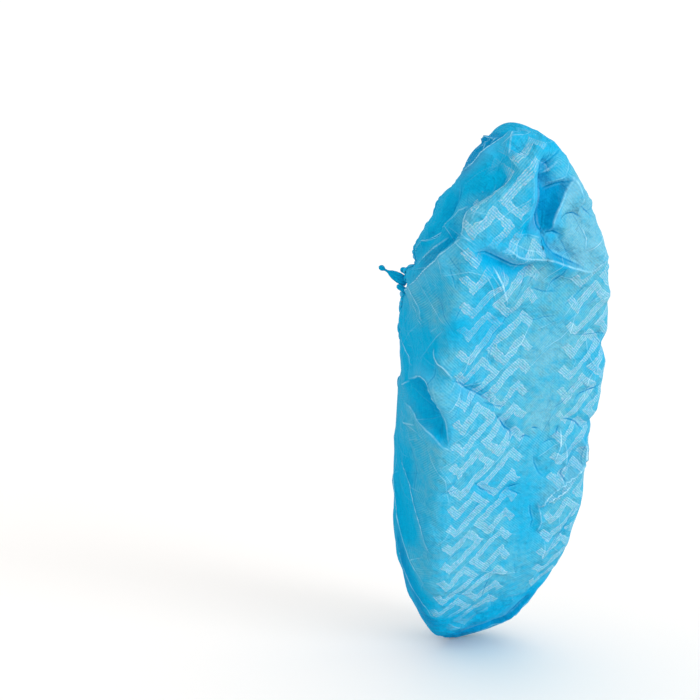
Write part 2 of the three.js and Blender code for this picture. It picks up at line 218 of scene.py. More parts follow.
# How much deeper the cloth looks right beside a fold, on the left of its points, or on the right where
# negative, and how far that reaches in mm.
SHADOWS = {
    "rim fold": 0.5, "panel border": 0.25, "side ridge 2": 0.4, "bulge edge": 0.9, "tuck": -0.8,
    "box foot": 0.6, "dark hollow": 0.7, "heel valley": 0.6, "pocket brow": 0.45, "pocket lip": -0.35,
    "panel foot": -0.4, "ball crossing 1": -0.6, "ball upright 2": -0.4, "side line 1": -0.4,
    "sole crease 2": -0.4, "toe fold": 0.9,
}
SHADOW_REACH = 8

# The fade of a fold's height on its sides, the distance in mm that stands for no line near, and how finely
# a line is divided to tell how far it lies from others.
CREASE_SHARPNESS = 1.1
OFF_LINE = 9.0
LINE_SAMPLES = 12


def between(rows, count):
    """Values between the rows of a table, on a closed Catmull-Rom curve."""
    values = np.array(rows, float)
    step = np.arange(count) / count * len(values)
    first = np.floor(step).astype(int)
    f = (step - first)[:, None]
    a, b, c, d = (values[(first + k) % len(values)] for k in (-1, 0, 1, 2))
    return b + 0.5 * ((c - a) * f + (2 * a - 5 * b + 4 * c - d) * f**2 + (3 * b - a - 3 * c + d) * f**3)


def unit(vectors):
    """The same directions at a length of one."""
    return vectors / np.maximum(np.linalg.norm(vectors, axis=-1, keepdims=True), 1e-12)


def wall_curves(columns):
    """The sole's edge, the way out from it, and the curve of the wall from the rim to its foot."""
    table = between([row[1:] for row in PLACES], columns)
    edge, rim = table[:, 0:3] * MM, table[:, 3:6] * MM
    reach, upright, bulge = table[:, 6:7], table[:, 7:8] * MM, table[:, 8:9] * MM
    across = np.roll(edge, -1, 0) - np.roll(edge, 1, 0)
    outward = unit(np.stack([-across[:, 1], across[:, 0], np.zeros(columns)], 1))
    up = np.array([0, 0, 1.0])
    foot = edge + up * EDGE_RADIUS
    inner = rim + (foot - rim) * (1, 1, 0) * reach - up * RIM_DROP
    outer = foot + up * upright + outward * bulge
    t = np.linspace(0, 1, CURVE_STEPS)[:, None, None]
    rest = 1 - t
    fine = rest**3 * rim + 3 * rest**2 * t * inner + 3 * rest * t**2 * outer + t**3 * foot
    step = np.linalg.norm(np.diff(fine, axis=0), axis=2)
    length = np.concatenate([np.zeros((1, columns)), np.cumsum(step, 0)])
    return edge, outward, fine, length


def along_wall(fine, length, distance):
    """Points of the wall curves at a distance from the rim, one for each column."""
    return np.array([
        [np.interp(distance[i], length[:, i], fine[:, i, k]) for k in range(3)]
        for i in range(fine.shape[1])
    ])


def bend(p):
    """The curl of the sole past the ball of the foot, which carries all above it along."""
    radius = BEND_RUN / BEND_ANGLE
    past = np.maximum(p[..., 1] - BEND_START, 0)
    angle = np.minimum(past, BEND_RUN) / radius
    rest = np.maximum(past - BEND_RUN, 0)
    arm = radius - p[..., 2]
    y = np.minimum(p[..., 1], BEND_START) + arm * np.sin(angle) + rest * np.cos(angle)
    z = radius - arm * np.cos(angle) + rest * np.sin(angle)
    return np.stack([p[..., 0], y, z], -1)


class Cover:
    """The cover before it creases, as rings of points: where they lie, how far from the rim, how far up
    the wall, and where on the cloth laid flat, where the walls lie outside the sole."""

    def __init__(self, columns):
        self.columns = columns
        self.edge, self.outward, self.fine, self.length = wall_curves(columns)
        self.border = self.edge - self.outward * EDGE_RADIUS
        self.rings = []

    def add(self, points, from_rim, up_wall, flat=None):
        if flat is None:
            flat = self.border[:, :2] + self.outward[:, :2] * up_wall[:, None]
        self.rings.append((bend(points), from_rim, up_wall, flat))

    def wall(self, distance):
        arc = EDGE_RADIUS * pi / 2
        points = along_wall(self.fine, self.length, distance)
        self.add(points, distance, arc + self.length[-1] - distance)

    def edge_ring(self, share):
        angle = share * pi / 2
        points = self.edge - self.outward * EDGE_RADIUS * (1 - cos(angle))
        points[:, 2] += EDGE_RADIUS * (1 - sin(angle))
        arc = EDGE_RADIUS * angle
        self.add(points, self.length[-1] + arc, np.full(self.columns, EDGE_RADIUS * pi / 2 - arc))
        return points

    def sole_ring(self, inner, inward):
        column = np.arange(self.columns)
        side = np.minimum(column, self.columns - column) / (self.columns / 2)
        share = side - CROWDING * np.sin(2 * pi * side) / (2 * pi)
        middle = np.zeros_like(inner)
        middle[:, 1] = MIDDLE_TOE + (MIDDLE_HEEL - MIDDLE_TOE) * share
        points = middle + (inner - middle) * (1 - inward)
        points[:, 2] = inner[:, 2] * (1 - inward) ** 2
        away = self.length[-1] + EDGE_RADIUS * pi / 2 + np.linalg.norm(points - inner, axis=1)
        self.add(points, away, np.zeros(self.columns), points[:, :2])

    def grids(self):
        return [np.array(values) for values in zip(*self.rings)]


def grid_normals(grid, zipped):
    """Outward normals of a grid of rings. A zipped grid ends at the middle of the sole, which both halves
    share."""
    across = np.roll(grid, -1, 1) - np.roll(grid, 1, 1)
    down = np.gradient(grid, axis=0)
    normals = np.cross(across, down)
    if zipped:
        beside = normals[-2]
        normals[-1] = beside + np.roll(beside[::-1], 1, 0)
    return unit(normals)


def beside_line(flat, line):
    """For points of the flat cloth: distance from a line, the side they lie on, and the share along."""
    line = np.array(line, float) * MM
    pieces = np.linalg.norm(np.diff(line, axis=0), axis=1)
    best = np.full(flat.shape[:-1], np.inf)
    side = np.ones(flat.shape[:-1])
    share = np.zeros(flat.shape[:-1])
    before = 0.0
    for a, b, piece in zip(line[:-1], line[1:], pieces):
        along = (b - a) / piece
        off = flat - a
        t = np.clip(off @ along / piece, 0, 1)
        distance = np.linalg.norm(off - t[..., None] * (b - a), axis=-1)
        near = distance < best
        turned = along[0] * off[..., 1] - along[1] * off[..., 0]
        best = np.where(near, distance, best)
        side = np.where(near, np.where(turned >= 0, 1.0, -1.0), side)
        share = np.where(near, (before + t * piece) / pieces.sum(), share)
        before += piece
    return best, side, share


def crease_cloth(flat, creases):
    """Height of the folds, and for the crease lines: signed and plain distance in mm, and their tone of
    painted highlight or shade.
    """
    height = np.zeros(flat.shape[:-1])
    across = np.full(flat.shape[:-1], OFF_LINE)
    beside = np.full(flat.shape[:-1], OFF_LINE)
    shade = np.zeros(flat.shape[:-1])
    for _, rise, left, right, tone, line in creases:
        distance, side, share = beside_line(flat, line)
        width = np.where(side > 0, left, right) * MM
        ends = np.clip(4 * share * (1 - share), 0, 1) ** 0.5
        height += rise * MM * np.clip(1 - distance / width, 0, 1) ** CREASE_SHARPNESS * ends
        nearer = distance / MM < beside
        across = np.where(nearer, side * distance / MM, across)
        beside = np.where(nearer, distance / MM, beside)
        shade = np.where(nearer, tone * ends, shade)
    return height, across, beside, shade


def spaced_lots(creases, apart):
    """The creases shared out into lots, so that no two lines of one lot come close to each other."""
    lots = []
    for crease in creases:
        line = np.array(crease[-1], float)
        steps = np.linspace(0, len(line) - 1, LINE_SAMPLES * len(line))
        points = np.stack([np.interp(steps, range(len(line)), line[:, k]) for k in (0, 1)], 1)
        for lot in lots:
            if np.linalg.norm(lot["points"][:, None] - points, axis=2).min() > apart:
                lot["creases"].append(crease)
                lot["points"] = np.vstack([lot["points"], points])
                break
        else:
            lots.append({"creases": [crease], "points": points})
    return [lot["creases"] for lot in lots]


# Small random creases: count, two corners of a rectangle of the flat cloth, and in mm the least and most
# rise, length and reach on either side, then the tone of their painted highlight, or painted shade where
# they sink. They run in three main directions, in radians, from which they stray, and bend by chance.
CRUMPLED = [
    (110, (-60, -175), (60, -70), (0.4, 1.3), (8, 30), (2.5, 8), 0.8),
    (150, (-60, -80), (60, 160), (0.3, 1.0), (8, 34), (2.5, 8), 0.8),
    (90, (-140, -150), (-50, 150), (0.3, 1.1), (12, 50), (4, 11), 0.6),
    (70, (50, -200), (150, 150), (0.3, 1.1), (12, 50), (4, 11), 0.6),
    (60, (-90, 140), (90, 290), (0.4, 1.2), (12, 50), (4, 11), 0.6),
]
CRUMPLE_DIRECTIONS = [0.9, -0.75, 2.2]
CRUMPLE_STRAY = 0.45
CRUMPLE_BEND = 0.35
rng = np.random.default_rng(11)


def small_creases(count, low, high, rise, length, width, tone):
    """Short random creases on a rectangle of the flat cloth, each bent once."""
    creases = []
    for _ in range(count):
        start = rng.uniform(low, high)
        angle = rng.choice(CRUMPLE_DIRECTIONS) + rng.normal(0, CRUMPLE_STRAY)
        turn = rng.normal(0, CRUMPLE_BEND)
        reach = rng.uniform(*length) / 2
        middle = start + reach * np.array([cos(angle), sin(angle)])
        end = middle + reach * np.array([cos(angle + turn), sin(angle + turn)])
        size = rng.uniform(*rise) * rng.choice([-1, 1])
        left, right = rng.uniform(*width, 2)
        shade = tone * np.sign(size) * rng.uniform(0.3, 1)
        creases.append(("small", size, left, right, shade, [start, middle, end]))
    return creases


CRUMPLES = [crease for area in CRUMPLED for crease in small_creases(*area)]

# Gathers: how many round, depth at the rim and reach down the wall in mm, sharpness of the fade. Then how
# full their waves are, how much their depth varies round the rim, and how often.
GATHERS = [(86, 0.9, 12, 1.2), (47, 1.2, 30, 1.5), (24, 1.4, 60, 1.8), (11, 1.6, 85, 2.0)]
GATHER_FULLNESS = 0.7
GATHER_VARIATION = 0.35
GATHER_SWINGS = 5
GATHER_SHIFTS = [(rng.uniform(0.1, 0.5, 5), rng.random(5), rng.random(2)) for _ in GATHERS]


def gather_cloth(columns, from_rim):
    """Folds that the elastic draws in at the rim, crowding and thinning out round it."""
    turn = np.arange(columns) / columns
    height = np.zeros_like(from_rim)
    for (folds, depth, reach, fading), (sizes, shifts, ends) in zip(GATHERS, GATHER_SHIFTS):
        wobble = sum(s * np.sin(2 * pi * (k * turn + t)) for k, (s, t) in enumerate(zip(sizes, shifts), 1))
        wave = np.cos(2 * pi * (folds * turn + wobble + ends[0]))
        wave = np.sign(wave) * np.abs(wave) ** GATHER_FULLNESS
        swing = np.sin(2 * pi * (GATHER_SWINGS * turn + ends[1]))
        size = 1 - GATHER_VARIATION + GATHER_VARIATION * swing
        height += depth * MM * wave * size * np.clip(1 - from_rim / (reach * MM), 0, 1) ** fading
    return height


# Slow waves of the slack cloth: their directions and shifts, their length and their height.
SWELLS = [(rng.uniform(-1, 1, 2), rng.random()) for _ in range(14)]
SWELL_LENGTH = 55 * MM
SWELL_HEIGHT = 0.25 * MM


def swell_cloth(flat):
    """Slow unevenness of the slack cloth."""
    total = np.zeros(flat.shape[:-1])
    for direction, shift in SWELLS:
        total += np.sin(2 * pi * (flat @ direction / SWELL_LENGTH + shift))
    return SWELL_HEIGHT * total


cover = Cover(COLUMNS)
for k in range(WALL_RINGS + 1):
    cover.wall(HEM_HEIGHT + (cover.length[-1] - HEM_HEIGHT) * (k / WALL_RINGS) ** RIM_CROWDING)
for k in range(1, EDGE_RINGS + 1):
    sole_border = cover.edge_ring(k / EDGE_RINGS)
for k in range(1, SOLE_RINGS + 1):
    cover.sole_ring(sole_border, k / SOLE_RINGS)
base, from_rim, up_wall, flat_cloth = cover.grids()

# Every crease moves the cloth. The lines of a lot lie this many mm apart, so that they can share one set of
# marks for the material. Of the small ones only the first lots are drawn there, to keep the material light.
MAIN_APART = 5
SMALL_APART = 4
SMALL_LOTS_DRAWN = 3
main_lines = [crease_cloth(flat_cloth, lot) for lot in spaced_lots(CREASES, MAIN_APART)]
small_lines = [crease_cloth(flat_cloth, lot) for lot in spaced_lots(CRUMPLES, SMALL_APART)]
folds = sum(lot[0] for lot in main_lines)
crumples = sum(lot[0] for lot in small_lines)
relief = folds + crumples + swell_cloth(flat_cloth) + gather_cloth(COLUMNS, from_rim)
shaped = base + grid_normals(base, True) * relief[..., None]
drawn = main_lines + small_lines[:SMALL_LOTS_DRAWN]
shaded = [(name, 0, 1, 1, SHADOWS[name], line) for name, *_, line in CREASES if name in SHADOWS]
shadows = [crease_cloth(flat_cloth, lot) for lot in spaced_lots(shaded, 1.5 * SHADOW_REACH)]


def place(points):
    """From the sole's own frame to the frame the cover is held in."""
    return (points + (0, 0, SOLE_LEVEL)) @ np.array(POSE).T


def cloth_mesh(name, grid, flat, attributes, ending):
    """A mesh of a grid of rings, with the flat cloth as its UV map "cloth", in metres. Its last ring is
    zipped down the middle of the sole, or looped back to the first, or left open."""
    count, columns = grid.shape[:2]
    index = np.arange(count * columns).reshape(count, columns)
    if ending == "zipped":
        column = np.arange(columns)
        index[-1] = index[-1][np.minimum(column, columns - column)]
    if ending == "looped":
        index = np.concatenate([index, index[:1]])
    a, b = index[:-1], index[1:]
    quads = np.stack([a, np.roll(a, -1, 1), np.roll(b, -1, 1), b], -1).reshape(-1, 4)
    used, quads = np.unique(quads, return_inverse=True)
    quads = quads.reshape(-1, 4)
    mesh = bpy.data.meshes.new(name)
    mesh.from_pydata(grid.reshape(-1, 3)[used].tolist(), [], quads.tolist())
    layer = mesh.uv_layers.new(name="cloth")
    layer.data.foreach_set("uv", flat.reshape(-1, 2)[used][quads.ravel()].ravel())
    for key, values in attributes.items():
        item = mesh.attributes.new(key, "FLOAT", "POINT")
        item.data.foreach_set("value", values.reshape(-1)[used].astype(np.float32))
    mesh.polygons.foreach_set("use_smooth", np.ones(len(mesh.polygons), bool))
    mesh.update()
    piece = bpy.data.objects.new(name, mesh)
    bpy.context.collection.objects.link(piece)
    return piece


# How much painted sheen the cloth gets, or painted shade where negative, and the places on the flat
# cloth where it does, in mm.
SHEEN_AND_SHADE_PLACES = [
    (-0.5,
     [(-47, -166), (-42, -172), (-50, -174), (-36, -174), (-55, -182), (-46, -186), (-39, -182),
      (-29, -178), (-2, -133), (-3, -145), (2, -128), (-7, -122), (1, -137), (-62, 123), (-51, 121),
      (-72, 110), (-42, 128), (-12, 155), (-4, 154), (4, 153), (12, 150), (20, 142), (25, 132)]),
    (0.0,
     [(11, -163), (-60, -150), (-77, -126), (-37, -150), (-2, -139), (-1, -124), (5, -113), (-87, -45),
      (-61, -58), (-62, -46), (-79, -27), (-66, -21), (-50, -11), (-83, 27), (-74, 38), (-71, 62),
      (-77, 122), (-58, 126), (4, 139)]),
    (0.1,
     [(-14, -186), (-30, -152), (-94, -100), (-59, -119), (-18, -161), (4, -139), (10, -100),
      (-28, -113), (-14, -104), (-29, -103), (-45, -72)]),
    (0.2,
     [(1, -162), (5, -168), (-92, -2), (-84, 10), (-27, -62), (-33, -85), (-23, -72), (6, 48),
      (12, 61), (-1, 34), (-17, 138), (17, 130)]),
    (0.35,
     [(0, 163), (14, 158), (24, 149), (32, 137), (-14, -128), (-59, -101), (-55, -91), (-37, -102),
      (-35, -35), (-66, 15), (-49, 38), (-55, 34), (-53, 53), (14, 25), (-38, 120), (-21, 23),
      (42, -35)]),
    (0.5,
     [(-36, -136), (-22, -140), (-39, -125), (-25, -126), (-12, -144), (-48, -110), (-76, -78),
      (-31, -53), (-51, 80), (5, 13), (21, 109), (30, 91), (-33, 32), (35, 2), (-70, -7), (5, -149),
      (1, -147)]),
    (0.6,
     [(-13, -154), (-56, -79), (-45, -89), (-44, -53), (-47, -34), (-33, -16), (-42, -4), (-52, -2),
      (-46, 16), (-43, 57), (-33, 94), (-12, 111), (-2, 91), (-12, 57), (23, 57), (36, 21), (21, 13),
      (-20, 2), (-9, -9)]),
    (0.8,
     [(28, 40), (-8, -111), (-5, -27), (-15, -55), (-17, -84), (24, -76), (33, -24), (38, -84)]),
    (1.0,
     [(11, -11), (8, -51), (0, -95), (12, -108), (29, -96)]),
    (1.2,
     [(13, -137), (10, -131), (18, -122), (25, -128), (26, -117), (16, -112), (32, -108), (24, -104)]),
]

# How sharply the painted tone peaks at a place, and how far off the general tone weighs as much, both in
# mm. The general tone is a light painted sheen on the wall, and more painted sheen towards the sole, from a
# height up the wall.
PLACE_REACH = 4
FAR_REACH = 30
WALL_SHEEN = 0.2
UNDERSIDE_SHEEN = 0.5
UNDERSIDE_HEIGHT = 30 * MM

# The valleys of the folds get painted shade, the more so down to a depth. Small creases count less.
CRUMPLE_SHARE = 0.7
VALLEY_DEPTH = 6 * MM
VALLEY_SHADE = 0.2

underside = np.clip(1 - up_wall / UNDERSIDE_HEIGHT, 0, 1)
weights = np.full(up_wall.shape, FAR_REACH**-4.0)
painted_light = (WALL_SHEEN + UNDERSIDE_SHEEN * underside) * weights
for share, places in SHEEN_AND_SHADE_PLACES:
    for spot in places:
        weight = (((flat_cloth / MM - spot) ** 2).sum(-1) + PLACE_REACH**2) ** -2.0
        painted_light += share * weight
        weights += weight
painted_light /= weights
depth = np.clip(-(folds + CRUMPLE_SHARE * crumples) / VALLEY_DEPTH, 0, 1)
# The tone mark carries this painted sheen and painted shade to the materials.
marks = {"tone": painted_light - VALLEY_SHADE * depth}
for lot, (_, across, beside, shade) in enumerate(drawn):
    marks |= {f"across_{lot}": across, f"beside_{lot}": beside, f"shade_{lot}": shade}
for lot, (_, across, _, shadow) in enumerate(shadows):
    marks |= {f"edge_{lot}": across, f"shadow_{lot}": shadow}
body = cloth_mesh("cover_body_cloth", place(shaped), flat_cloth, marks, "zipped")
skin = body.modifiers.new("cloth", "SOLIDIFY")
skin.thickness = CLOTH_THICKNESS
skin.offset = -1


def add_node(tree, kind, inputs=(), **settings):
    """A node with its settings. Each input is linked to a socket, or to several, or given a value."""
    made = tree.nodes.new(kind)
    for key, value in settings.items():
        setattr(made, key, value)
    for key, value in dict(inputs).items():
        for source in value if isinstance(value, list) else [value]:
            if isinstance(source, bpy.types.NodeSocket):
                tree.links.new(source, made.inputs[key])
            else:
                made.inputs[key].default_value = source
    return made


class Shader:
    """A material and short ways to add and join its nodes."""

    def __init__(self, name):
        self.material = bpy.data.materials.new(name)
        self.material.use_nodes = True
        self.tree = self.material.node_tree
        self.surface = self.tree.nodes["Principled BSDF"]

    def node(self, kind, inputs=(), **settings):
        return add_node(self.tree, "ShaderNode" + kind, inputs, **settings)

    def attribute(self, name):
        return self.node("Attribute", attribute_name=name).outputs["Fac"]

    def math(self, operation, *values):
        return self.node("Math", dict(enumerate(values)), operation=operation).outputs[0]

    def times(self, *values):
        return self.math("MULTIPLY", *values)

    def plus(self, *values):
        return self.math("ADD", *values)

    def noise(self, vector, scale, detail):
        return self.node("TexNoise", {"Vector": vector, "Scale": scale, "Detail": detail}).outputs["Fac"]

    def cells(self, vector, scale, feature):
        made = self.node("TexVoronoi", {"Vector": vector, "Scale": scale}, feature=feature)
        return made.outputs["Distance"]

    def ramp(self, value, low, high, out_low=0.0, out_high=1.0):
        levels = {"From Min": low, "From Max": high, "To Min": out_low, "To Max": out_high}
        return self.node("MapRange", {"Value": value, **levels}).outputs["Result"]

    def mix(self, share, one, other):
        return self.node("Mix", {0: share, 6: one, 7: other}, data_type="RGBA").outputs[2]

    def finish(self, color, relief):
        """Colour, and relief in mm, to the surface, which is matt like all the nonwoven."""
        bump = self.node("Bump", {"Height": relief, "Strength": 1.0, "Distance": MM})
        self.tree.links.new(color, self.surface.inputs["Base Color"])
        self.tree.links.new(bump.outputs["Normal"], self.surface.inputs["Normal"])
        self.surface.inputs["Roughness"].default_value = CLOTH_ROUGHNESS
        self.surface.inputs["Specular IOR Level"].default_value = CLOTH_GLOSS


WALL_BLUE = (0.0, 0.38, 0.65, 1)
# The sole colours are the wall's own blue under a painted sheen, the last under a stronger painted sheen.
SOLE_SHEEN_BLUE = (0.125, 0.365, 0.44, 1)
SOLE_SHEEN_TEAL = (0.095, 0.38, 0.455, 1)
SOLE_STRONG_SHEEN = (0.19, 0.46, 0.60, 1)
# The dark of the grain, and painted shade in valleys, beside folds and between the hem's ruffles.
GRAIN_AND_SHADE_BLUE = (0.0, 0.24, 0.50, 1)
# Painted shade in crease valleys, then painted highlights on crease ridges.
CREASE_SHADE = (0.0, 0.20, 0.46, 1)
CREASE_HIGHLIGHT = (0.27, 0.61, 0.80, 1)
# The bond pattern, and painted highlights on fine crinkles.
BOND_PATTERN_AND_CRINKLE_HIGHLIGHT = (0.14, 0.50, 0.67, 1)
FILM_GREEN = (0.28, 0.56, 0.64, 1)
FILM_MAUVE = (0.34, 0.53, 0.69, 1)
# Painted highlights on the crease ridges of the film.
FILM_CREASE_HIGHLIGHT = (0.44, 0.73, 0.86, 1)
CLOTH_ROUGHNESS = 0.6
CLOTH_GLOSS = 0.015

# The cloth is bonded in a grid of dots. Their rows show as stripes, one way or the other as the drift has
# it. From DRIFT on the values are scales of noise, per metre; CRACKS gives thin pale lines, painted
# highlights on fine crinkles. SWAY_SIZE is how far these crack lines and the facets sway.
BOND_PITCH = 1.15 * MM
BOND_DEPTH = 0.08  # mm
DRIFT = 38
GRAIN = 900
BLOTCHES = 230
PATCHES = 50
MOTTLE = 320
SWAY = 70
SWAY_SIZE = 6 * MM
CRACKS = 130
FLECKS = 480

# Facets of the crumpled cloth: scale and height in mm.
FACETS = [(75, 1.7), (240, 0.8), (560, 0.3)]


def bonded_cloth(shader, tone):
    """Colour, relief in mm, stripes of bonds, grain and unevenness of the bonded cloth, the colour with
    painted sheen, shade and crinkle highlights.
    """
    flat = shader.node("UVMap", uv_map="cloth").outputs["UV"]
    grid = {"Vector": flat, "Rotation": (0, 0, radians(45)), "Scale": (1 / BOND_PITCH, 1 / BOND_PITCH, 1)}
    turned = shader.node("Mapping", grid).outputs["Vector"]
    places = shader.node("SeparateXYZ", {"Vector": turned}).outputs
    rows = [shader.ramp(shader.math("PINGPONG", places[k], 0.5), 0.15, 0.4) for k in (0, 1)]
    bonds = shader.times(*rows)
    drift = shader.noise(flat, DRIFT, 1)
    one_way = shader.times(rows[0], shader.ramp(drift, 0.56, 0.46))
    other_way = shader.times(rows[1], shader.ramp(drift, 0.46, 0.56))
    stripes = shader.plus(one_way, other_way)
    grain = shader.noise(flat, GRAIN, 2)
    blotch = shader.noise(flat, BLOTCHES, 4)
    patch = shader.noise(flat, PATCHES, 3)
    uneven = shader.ramp(blotch, 0.3, 0.7, 0.5, 1.35)
    uneven = shader.times(uneven, shader.ramp(patch, 0.35, 0.65, 0.75, 1.2))
    sway = shader.node("TexNoise", {"Vector": flat, "Scale": SWAY}).outputs["Color"]
    shift = shader.node("VectorMath", {0: sway, "Scale": SWAY_SIZE}, operation="SCALE").outputs[0]
    warped = shader.node("VectorMath", {0: flat, 1: shift}, operation="ADD").outputs[0]

    # The tone paints sheen: from the wall's own blue towards the sole colours, and a stronger sheen at its
    # top.
    pale = shader.ramp(tone, 0.06, 1)
    sole = shader.mix(shader.ramp(shader.noise(flat, MOTTLE, 2), 0.4, 0.6), SOLE_SHEEN_BLUE, SOLE_SHEEN_TEAL)
    color = shader.mix(shader.times(pale, uneven), WALL_BLUE, sole)
    color = shader.mix(shader.times(shader.ramp(tone, 0.75, 1.1, 0, 0.6), uneven), color, SOLE_STRONG_SHEEN)
    color = shader.mix(shader.ramp(grain, 0.38, 0.62, 0, 0.3), color, GRAIN_AND_SHADE_BLUE)
    color = shader.mix(shader.times(bonds, shader.ramp(pale, 0.2, 0.8, 0.1, 0.35)), color, WALL_BLUE)
    # Painted shade where the tone is negative, in the valleys and the darkest places.
    color = shader.mix(shader.ramp(tone, 0.0, -0.5, 0, 0.9), color, GRAIN_AND_SHADE_BLUE)
    # Thin pale crack lines between cells are painted highlights on fine crinkles. They and the bond stripes
    # show most where the sheen is painted.
    crinkle_highlights = shader.ramp(shader.cells(warped, CRACKS, "DISTANCE_TO_EDGE"), 0.06, 0.0)
    crinkle_highlights = shader.times(crinkle_highlights, shader.ramp(patch, 0.45, 0.65, 0, 0.3))
    shown = shader.times(stripes, shader.ramp(blotch, 0.35, 0.6, 0.15, 0.6))
    for share in (crinkle_highlights, shown):
        color = shader.mix(shader.times(share, shader.ramp(pale, 0, 0.6, 0.05, 1)), color, BOND_PATTERN_AND_CRINKLE_HIGHLIGHT)

    relief = shader.times(bonds, -BOND_DEPTH)
    for scale, height in FACETS:
        relief = shader.plus(relief, shader.times(shader.cells(warped, scale, "F1"), height))
    return color, relief, stripes, grain, uneven


# Crease lines, in mm: half the width of a main one and of a small one, the share of it at full tone, and
# the reach and height of the ridge. A line is a painted highlight on a ridge, or painted shade in a valley.
# A line fades out at LINE_NEAR by its plain distance, because the signed one also passes zero off its
# ends. On either side is a fainter foot, FOOT_AT half widths out: painted shade beside a highlight
# (DARK_FOOT), painted highlight beside a shade (LIT_FOOT).
MAIN_LINE = 0.6
SMALL_LINE = 0.4
LINE_CORE = 0.2
LINE_NEAR = (2.2, 3.4)
RIDGE_REACH = 2.4
RIDGE_HEIGHT = 0.5
FOOT_AT = 1.6
DARK_FOOT = 0.25
LIT_FOOT = 0.15

# The shadow of a fold: how far it crosses the line in mm, its share of deep, and of pale on the lit side.
SHADOW_EDGE = 0.35
SHADOW_DEEP = 0.7
SHADOW_PALE = -0.35


def crease_line(shader, lot, half_width):
    """Shares of painted highlight and painted shade along the crease lines, however coarse the mesh, and
    the height of their ridge.
    """
    distance = shader.math("ABSOLUTE", shader.attribute(f"across_{lot}"))
    near = shader.ramp(shader.attribute(f"beside_{lot}"), LINE_NEAR[1], LINE_NEAR[0])
    tone = shader.times(shader.attribute(f"shade_{lot}"), near)
    line = shader.ramp(distance, half_width, half_width * LINE_CORE)
    from_foot = shader.math("ABSOLUTE", shader.math("SUBTRACT", distance, FOOT_AT * half_width))
    foot = shader.ramp(from_foot, half_width, 0)
    pale = shader.math("MAXIMUM", tone, 0.0)
    deep = shader.math("MAXIMUM", shader.times(tone, -1.0), 0.0)
    dark = shader.plus(shader.times(line, deep), shader.times(shader.times(foot, pale), DARK_FOOT))
    lit = shader.plus(shader.times(line, pale), shader.times(shader.times(foot, deep), LIT_FOOT))
    ridge = shader.times(tone, shader.ramp(distance, RIDGE_REACH, 0, 0, RIDGE_HEIGHT))
    return lit, dark, ridge


def fold_shadow(shader, lot):
    """How deep the cloth looks beside the folds, and below nothing how lit."""
    across = shader.attribute(f"edge_{lot}")
    side = shader.ramp(across, -SHADOW_EDGE, SHADOW_EDGE, -1, 1)
    reach = shader.ramp(shader.math("ABSOLUTE", across), SHADOW_REACH, 0)
    return shader.times(shader.times(side, reach), shader.attribute(f"shadow_{lot}"))


def printed_film(shader, tone, color, stripes, grain):
    """The colour of the cloth under the thin film, which is thickest along its outline. The film shows less
    where the tone paints shade, and under the strongest painted sheen.
    """
    speckled = shader.ramp(grain, 0.4, 0.58, 0.4, 1.1)
    striped = shader.times(shader.ramp(stripes, 0.1, 0.7, 0.25, 0.75), speckled)
    outline = shader.times(shader.ramp(shader.attribute("outline"), 0.2, 1, 0, 0.35), speckled)
    shown = shader.times(shader.plus(striped, outline), shader.ramp(tone, 0.05, 0.35))
    shown = shader.times(shown, shader.ramp(tone, 1.05, 0.9, 0.1, 1))
    flat = shader.node("UVMap", uv_map="cloth").outputs["UV"]
    flecks = shader.ramp(shader.noise(flat, FLECKS, 1), 0.42, 0.58)
    return shader.mix(shown, color, shader.mix(flecks, FILM_GREEN, FILM_MAUVE))


def creased_cloth(name, film):
    """The nonwoven with its crease lines of painted highlight and shade, and painted fold shadows, bare or
    under the printed film.
    """
    shader = Shader(name)
    tone = shader.attribute("tone")
    color, relief, stripes, grain, uneven = bonded_cloth(shader, tone)
    if film:
        color = printed_film(shader, tone, color, stripes, grain)
    # Fold shadows are painted shade on one side and painted highlight on the other; crease lines are
    # painted highlights on ridges and painted shade in valleys, the small ones fading where the tone paints
    # shade.
    tints = (FILM_CREASE_HIGHLIGHT if film else CREASE_HIGHLIGHT, CREASE_SHADE)
    broken = shader.ramp(uneven, 0.5, 1.1, 0.35, 1.2)
    for lot in range(len(shadows)):
        shadow = fold_shadow(shader, lot)
        color = shader.mix(shader.times(shadow, SHADOW_DEEP), color, GRAIN_AND_SHADE_BLUE)
        color = shader.mix(shader.times(shadow, SHADOW_PALE), color, CREASE_HIGHLIGHT)
    for lot in reversed(range(len(drawn))):
        small = lot >= len(main_lines)
        strength = shader.ramp(tone, -0.1, 0.25, 0, 0.8) if small else 1.0
        *lines, ridge = crease_line(shader, lot, SMALL_LINE if small else MAIN_LINE)
        relief = shader.plus(relief, ridge)
        for line, tint in zip(lines, tints):
            color = shader.mix(shader.times(line, shader.times(broken, strength)), color, tint)
    shader.finish(color, relief)
    return shader.material


body.data.materials.append(creased_cloth("blue nonwoven", False))
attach(body, "root")
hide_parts("cover_body")

# --------------------------------------------------------------------
# Hem: the cloth's edge turned over a thin elastic and welded down, which gathers it into close ruffles.
# The elastic's ends meet on the outer side, where the ruffles bunch up.
HEM_COLUMNS = 1200
HEM_RINGS = 7
HEM_HALF_HEIGHT = 3.4 * MM
HEM_HALF_THICK = 0.8 * MM
HEM_EDGE_SHARE = 0.2
HEM_MIDDLE = HEM_HEIGHT / 2 + 0.5 * MM

# Ruffles round the hem, and the depth of them and of the waves of its upper edge, in mm. Both are deeper
# where they bunch up, at this share of the way round, over this width.
PLEATS = 170
PLEAT_DEPTH = 0.35
SCALLOP_DEPTH = 0.5
BUNCH_AT = 0.675
BUNCH_WIDTH = 0.016
BUNCHED_PLEAT = 1.2
BUNCHED_SCALLOP = 1.6

# How the ruffles crowd and thin out on their way round: swings, size, shift. Then how their depth varies
# and their upper edge strays.
CROWDED = [(9, 0.004, 0), (23, 0.002, 1)]
DEPTH_SWINGS = 31
DEPTH_VARIATION = 0.3
EDGE_SWINGS = 7
EDGE_STRAY = 2

